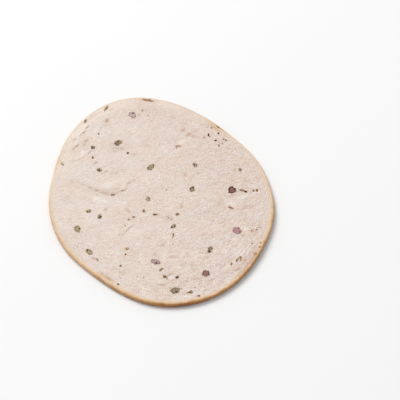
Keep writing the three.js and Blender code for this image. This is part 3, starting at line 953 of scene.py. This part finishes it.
# The herb flakes
# Bits of dried leaf and pepper husk in the seasoning, from light tan to almost black. They are thin and
# uneven, lie flat in the cut face, and stand just proud of it. Each has its middle, width, length, turn and
# darkness.
HERB_FLAKES = [
    (-25.8, 32.3, 1.1, 2.1, -12, 0.4), (-41.8, 32, 1.1, 2.3, 17, 0.15), (-23.1, 59.5, 1.2, 2.8, -38, 0.35),
    (-10.1, 65.8, 1.4, 4.2, -41, 0.25), (-7.6, 30, 1.3, 1.5, -13, 0.85), (-10.5, -11.1, 1.5, 2.5, -21, 0.3),
    (-5.9, -15.1, 0.8, 2.4, 67, 0.5), (-6.2, -15, 1, 1.2, -11, 0.5), (4.5, -18.3, 1.7, 2, -62, 0.35),
    (-1.2, -30.3, 1.1, 2.1, -17, 0.35), (-2, -31.6, 0.6, 0.8, -16, 0.15), (30.5, -21.9, 1.2, 1.7, 14, 0.3),
    (31.3, -22.8, 1.2, 1.8, 31, 0.25), (39.9, -13.2, 1.4, 2.5, 59, 0.25), (41.3, -14.6, 1.1, 2.1, 44, 0.75),
    (36.6, 29.9, 1, 2.2, -14, 0.8), (36.8, 28.4, 0.6, 0.9, 5, 0.35), (38.8, 24.7, 1.1, 1.5, 71, 0.8),
    (41.9, 29.2, 1.1, 1.7, -18, 0.65), (-24.7, -32, 1.8, 1.9, 45, 0.05), (-30.2, -40.9, 1, 1.2, -9, 0.4),
    (-13.1, -48.9, 1.2, 1.7, -27, 0.3), (-12.1, -48.4, 1.1, 1.3, -88, 0.25),
    (-12.5, -53.2, 1.5, 1.7, -6, 0.45), (-11.6, -53.7, 0.8, 0.9, 45, 0.2), (-11.7, -54.6, 0.6, 0.9, 9, 0.2),
    (-7.1, -55.5, 1.3, 1.6, 60, 0.75), (-6.3, -55.1, 0.8, 0.8, 64, 0.35), (-4.1, -65.5, 1, 1.5, 72, 0.5),
    (-3.2, -65.7, 1, 1.5, -22, 0.2), (-3.3, -64.9, 0.6, 0.8, -17, 0.45), (-5.4, -65.4, 0.6, 0.8, 70, 0.1),
    (22.6, -54.7, 1.2, 1.9, -30, 0.2), (23.7, -54, 0.9, 1.7, -57, 0.15), (24.7, -53.8, 1.1, 1.8, -1, 0.25),
    (24.3, -55.2, 0.8, 1.4, -13, 0.15), (19.3, -55.9, 1.1, 2, -20, 0.25), (13.3, 65.6, 1.4, 7.2, 58, 0.2),
    (14.3, 65.3, 1.2, 1.9, 14, 0.45), (11.7, 66.6, 1, 1.7, 63, 0.3), (18.8, 27.1, 1.5, 2.9, 72, 0),
    (17.6, 25.7, 0.6, 0.8, -14, 0.25), (-16.4, -13.3, 0.9, 1.4, 30, 0.35), (-22.5, 4, 1, 2, 82, 0.25),
    (-22.8, 4.3, 0.7, 0.7, 0, 0.7), (45.3, -15.3, 0.9, 1.1, 0, 0.5), (47, -15.7, 1.1, 1.9, -20, 0.5),
    (-34, -50.9, 1, 1.1, 0, 0.45), (-0.7, -68.7, 1.3, 1, 0, 0.4), (-19.1, -14.2, 0.9, 1, 0, 0.35),
    (-18.6, 48.5, 0.9, 1.2, -20, 0.45), (4.2, -1, 0.7, 0.7, 0, 0.3), (-21.8, -17.3, 0.7, 0.7, 0, 0.25),
    (-0.3, -19.2, 0.6, 0.6, 0, 0.3), (0.6, -20.8, 0.7, 0.7, 0, 0.2), (32.8, -47.4, 0.7, 0.7, 0, 0.3),
    (36.8, -48.4, 0.8, 0.9, 0, 0.35), (37.7, -40.1, 0.8, 0.9, 0, 0.35), (-26.2, -35, 0.9, 1.2, -20, 0.4),
    (-39.6, -34.1, 0.7, 1, 30, 0.35), (10.2, 54, 0.7, 0.8, 0, 0.2), (44, 23, 0.8, 1, 20, 0.35),
    (43.1, 24.2, 0.8, 1.1, -20, 0.35), (39.2, 20.6, 0.8, 1.6, -15, 0.25), (33.9, 28.9, 0.6, 1.2, -30, 0.15),
    (43.2, 33.7, 1, 1.6, 20, 0.35), (39.9, 34.5, 0.7, 0.7, 0, 0.2), (8.3, 58.8, 0.9, 1, 0, 0.12),
    (32.1, -54, 1.6, 1.4, 40, 0.14), (35.5, -50.9, 1.1, 1.3, 0, 0.12), (-17.3, 5.3, 0.5, 0.6, 0, 0.3),
    (-16.2, 5.1, 0.5, 0.5, 0, 0.2),
]
FLAKE_PROUD = 0.15
FLAKE_DEPTH = 0.6

# The chip that they are copied from, in shares of a flake's width, and how much each one differs: its
# outline, and its tone from point to point.
CHIP_SIDES = 11
CHIP_EDGE = 0.1
CHIP_RING = 0.16
CHIP_TOP = 1 + CHIP_EDGE
OUTLINE_RAGGED = (0.05, 0.13)
CHIP_PATCHY = 0.4


def leaf_flake(name):
    """A flat chip, one unit across: a disc drawn up into a low drum, its upper rim eased."""
    deselect_all()
    bpy.ops.mesh.primitive_circle_add(vertices=CHIP_SIDES, radius=0.5, fill_type="NGON")
    chip = bpy.context.object
    chip.name = name
    chip.data.materials.append(bpy.data.materials.new(name))
    bpy.ops.object.mode_set(mode="EDIT")
    bpy.ops.mesh.select_all(action="SELECT")
    bpy.ops.mesh.extrude_region_move(TRANSFORM_OT_translate={"value": (0, 0, 1)})
    select_faces(chip, lambda face: face.calc_center_median().z > 0.9)
    bpy.ops.mesh.inset(thickness=CHIP_EDGE, depth=CHIP_EDGE)
    bpy.ops.mesh.inset(thickness=CHIP_RING)
    bpy.ops.mesh.poke()
    bpy.ops.mesh.select_all(action="SELECT")
    bpy.ops.mesh.normals_make_consistent(inside=False)
    bpy.ops.object.mode_set(mode="OBJECT")
    return chip


def lay_flakes(model, rows, name, seed, proud, depth):
    """Lays a copy of the chip at each row's place, every one of its own ragged outline, and joins them."""
    draw = random.Random(seed)
    copies = []
    for middle_x, middle_y, width, length, turn, tone in rows:
        copy = linked_copy(model)
        unit = coordinates(copy, unit=1)
        around = np.arctan2(unit[:, 1], unit[:, 0])
        outline = 1 + drawn_waves(draw, around, OUTLINE_RAGGED, (2, 3, 4, 5))
        rough = np.array([draw.uniform(-0.5, 0.5) for _ in unit])
        across = unit[:, 0] * outline * width
        along = unit[:, 1] * outline * length
        px, py = turned_to(across, along, middle_x, middle_y, turn)
        level = np.minimum(unit[:, 2], CHIP_TOP) / CHIP_TOP
        pz = cut_face_height(px, py) - depth + (proud + depth) * level + rough * proud * (level > 0.5)
        move_points(copy, np.stack([px, py, pz], axis=1))
        write_attribute(copy, "tone", np.clip(tone + rough * CHIP_PATCHY, 0, 1))
        copies.append(copy)
    return join_copies(copies, model, name)


LEAF = [(0, (208, 178, 146)), (0.35, (168, 134, 98)), (0.7, (110, 82, 50)), (1, (36, 26, 18))]
LEAF_VEIN = [(0, (170, 134, 98)), (0.35, (108, 80, 50)), (0.7, (62, 44, 24)), (1, (18, 12, 8))]
flake_model = leaf_flake("herb_leaf")
pepper_material("herb_leaf", LEAF, LEAF_VEIN, patch_share=0.85, patch_size=0.7, shine=0.1)
flakes = lay_flakes(flake_model, HERB_FLAKES, "herb_flakes", 21, FLAKE_PROUD, FLAKE_DEPTH)
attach(flakes, "root")

# The skin bits
# Torn, darker bits of the peppercorns' own skins, which stick to the cut peppercorns: one to three on each,
# at a place part of the way out to its edge. They stand a little prouder than the peppercorns do.
SKIN_BITS_EACH = (1, 3)
SKIN_BIT_SIZES = (0.5, 0.9)
SKIN_BIT_STRETCH = (0.7, 1.2)
SKIN_BIT_PLACES = (0.35, 0.8)
SKIN_BIT_TONES = (0.45, 0.85)
SKIN_BIT_PROUD = 0.36
SKIN_BIT_DEPTH = 0.3


def torn_bits(draw):
    """The rows of the skin bits, scattered over each peppercorn."""
    rows = []
    for middle_x, middle_y, width, length, turn, _ in PINK_PEPPERCORNS + GREEN_PEPPERCORNS:
        for _ in range(draw.randint(*SKIN_BITS_EACH)):
            towards = draw.uniform(-math.pi, math.pi)
            share = draw.uniform(*SKIN_BIT_PLACES)
            across = share * width / 2 * math.cos(towards)
            along = share * length / 2 * math.sin(towards)
            bx, by = turned_to(across, along, middle_x, middle_y, turn)
            size = draw.uniform(*SKIN_BIT_SIZES)
            tone = draw.uniform(*SKIN_BIT_TONES)
            stretch = draw.uniform(*SKIN_BIT_STRETCH)
            rows.append((bx, by, size, size * stretch, draw.uniform(0, 180), tone))
    return rows


bit_rows = torn_bits(random.Random(44))
bits = lay_flakes(leaf_flake("torn_skin"), bit_rows, "skin_bits", 44, SKIN_BIT_PROUD, SKIN_BIT_DEPTH)
pepper_material("torn_skin", LEAF, LEAF_VEIN, patch_share=0.6, patch_size=0.5, shine=0.1)
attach(bits, "root")

# The ground pepper
# Fine grains of ground spice all through the meat, most of them pale tan and less than half a millimetre
# wide. They lie scattered, with a few loose clusters, each given by its middle, its spread and its number of
# grains.
GRAIN_COUNT = 120
GRAIN_SIZES = (0.25, 0.5)
GRAIN_STRETCH = (0.7, 1.5)
GRAIN_TONES = (1.4, 4)
GRAIN_PROUD = 0.05
GRAIN_DEPTH = 0.3
GRAIN_CLUSTERS = [
    (37.5, -38.5, 3.4, 12), (-0.5, -19, 3, 8), (-22, 19.6, 4, 12), (-17, 18.6, 4, 8), (-29, -44.8, 5, 10),
    (40, -42, 7, 8), (41, 24, 4, 7), (-4, -58, 12, 10), (0, -64, 10, 8), (-38, -35, 6, 6), (10, 56, 7, 6),
    (28, 33, 4, 5), (23, 6, 4, 5), (-47.5, -18, 2, 5), (-46.8, -23, 2, 7),
]
GRAIN_MARGIN = 1.5


def scatter_grains(draw):
    """The rows of the ground pepper: the loose clusters first, and then single grains all over."""
    places = []
    for middle_x, middle_y, spread_out, count in GRAIN_CLUSTERS:
        for _ in range(count):
            places.append((draw.gauss(middle_x, spread_out / 2), draw.gauss(middle_y, spread_out / 2)))
    for _ in range(GRAIN_COUNT):
        turn = draw.uniform(-math.pi, math.pi)
        reach = math.sqrt(draw.random()) * float(rim_radius(turn))
        places.append((reach * math.cos(turn), reach * math.sin(turn)))
    rows = []
    for gx, gy in places:
        if math.hypot(gx, gy) > float(rim_radius(math.atan2(gy, gx))) - GRAIN_MARGIN:
            continue
        size = draw.uniform(*GRAIN_SIZES)
        stretch = draw.uniform(*GRAIN_STRETCH)
        turn = draw.uniform(0, 180)
        rows.append((gx, gy, size, size * stretch, turn, draw.betavariate(*GRAIN_TONES)))
    return rows


grain_rows = scatter_grains(random.Random(33))
grains = lay_flakes(leaf_flake("ground_spice"), grain_rows, "ground_pepper", 34, GRAIN_PROUD, GRAIN_DEPTH)
pepper_material("ground_spice", LEAF, LEAF_VEIN, patch_share=0.5, patch_size=0.5, shine=0.1)
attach(grains, "root")

# The studio
# A plain pale floor, a broad soft light from behind on the left, an even fill from all round, and a camera
# that looks down on the slice.
CAMERA_TARGET = (18.53, -11.1, 0)
CAMERA_ELEVATION = 48
CAMERA_AZIMUTH = -18
CAMERA_DISTANCE = 472.2
CAMERA_LENS = 85
LIGHT_SIDE = 117
LIGHT_ELEVATION = 50
LIGHT_DISTANCE = 2500
LIGHT_SIZE = 1500
LIGHT_POWER = 43
FILL_STRENGTH = 0.58
FLOOR_SIZE = 4

deselect_all()
bpy.ops.mesh.primitive_plane_add(size=FLOOR_SIZE)
floor = bpy.context.object
floor.name = "floor"
floor.data.materials.append(bpy.data.materials.new("pale_floor"))
tree, shader = clear_material(floor.data.materials["pale_floor"])
faint_cloud = noise(tree, in_object(tree), 6, 2)
put(shader["Base Color"], mixed(tree, faint_cloud, linear(243, 243, 243), linear(245, 245, 245)))
put(shader["Roughness"], 0.7)
put(shader["Specular IOR Level"], 0.2)

world = bpy.data.worlds.new("fill")
world.use_nodes = True
world.node_tree.nodes["Background"].inputs["Color"].default_value = (1, 1, 1, 1)
world.node_tree.nodes["Background"].inputs["Strength"].default_value = FILL_STRENGTH
bpy.context.scene.world = world


def seen_from(side, elevation, distance, target):
    """A place at a distance from a target, in metres, and the turn that faces the target from there."""
    level = math.cos(math.radians(elevation))
    away = Vector((math.cos(math.radians(side)) * level, math.sin(math.radians(side)) * level,
                   math.sin(math.radians(elevation))))
    return (Vector(target) + away * distance) * MM, away.to_track_quat("Z", "Y").to_euler()


light_place, light_turn = seen_from(LIGHT_SIDE, LIGHT_ELEVATION, LIGHT_DISTANCE, (0, 0, 0))
bpy.ops.object.light_add(type="AREA", location=light_place, rotation=light_turn)
key = bpy.context.object
key.name = "key"
key.data.size = LIGHT_SIZE * MM
key.data.energy = LIGHT_POWER

camera_place, camera_turn = seen_from(CAMERA_AZIMUTH - 90, CAMERA_ELEVATION, CAMERA_DISTANCE, CAMERA_TARGET)
bpy.ops.object.camera_add(location=camera_place, rotation=camera_turn)
camera = bpy.context.object
camera.name = "camera"
camera.data.lens = CAMERA_LENS
camera.data.clip_start = 0.01
bpy.context.scene.camera = camera
bpy.context.scene.view_settings.view_transform = "Standard"
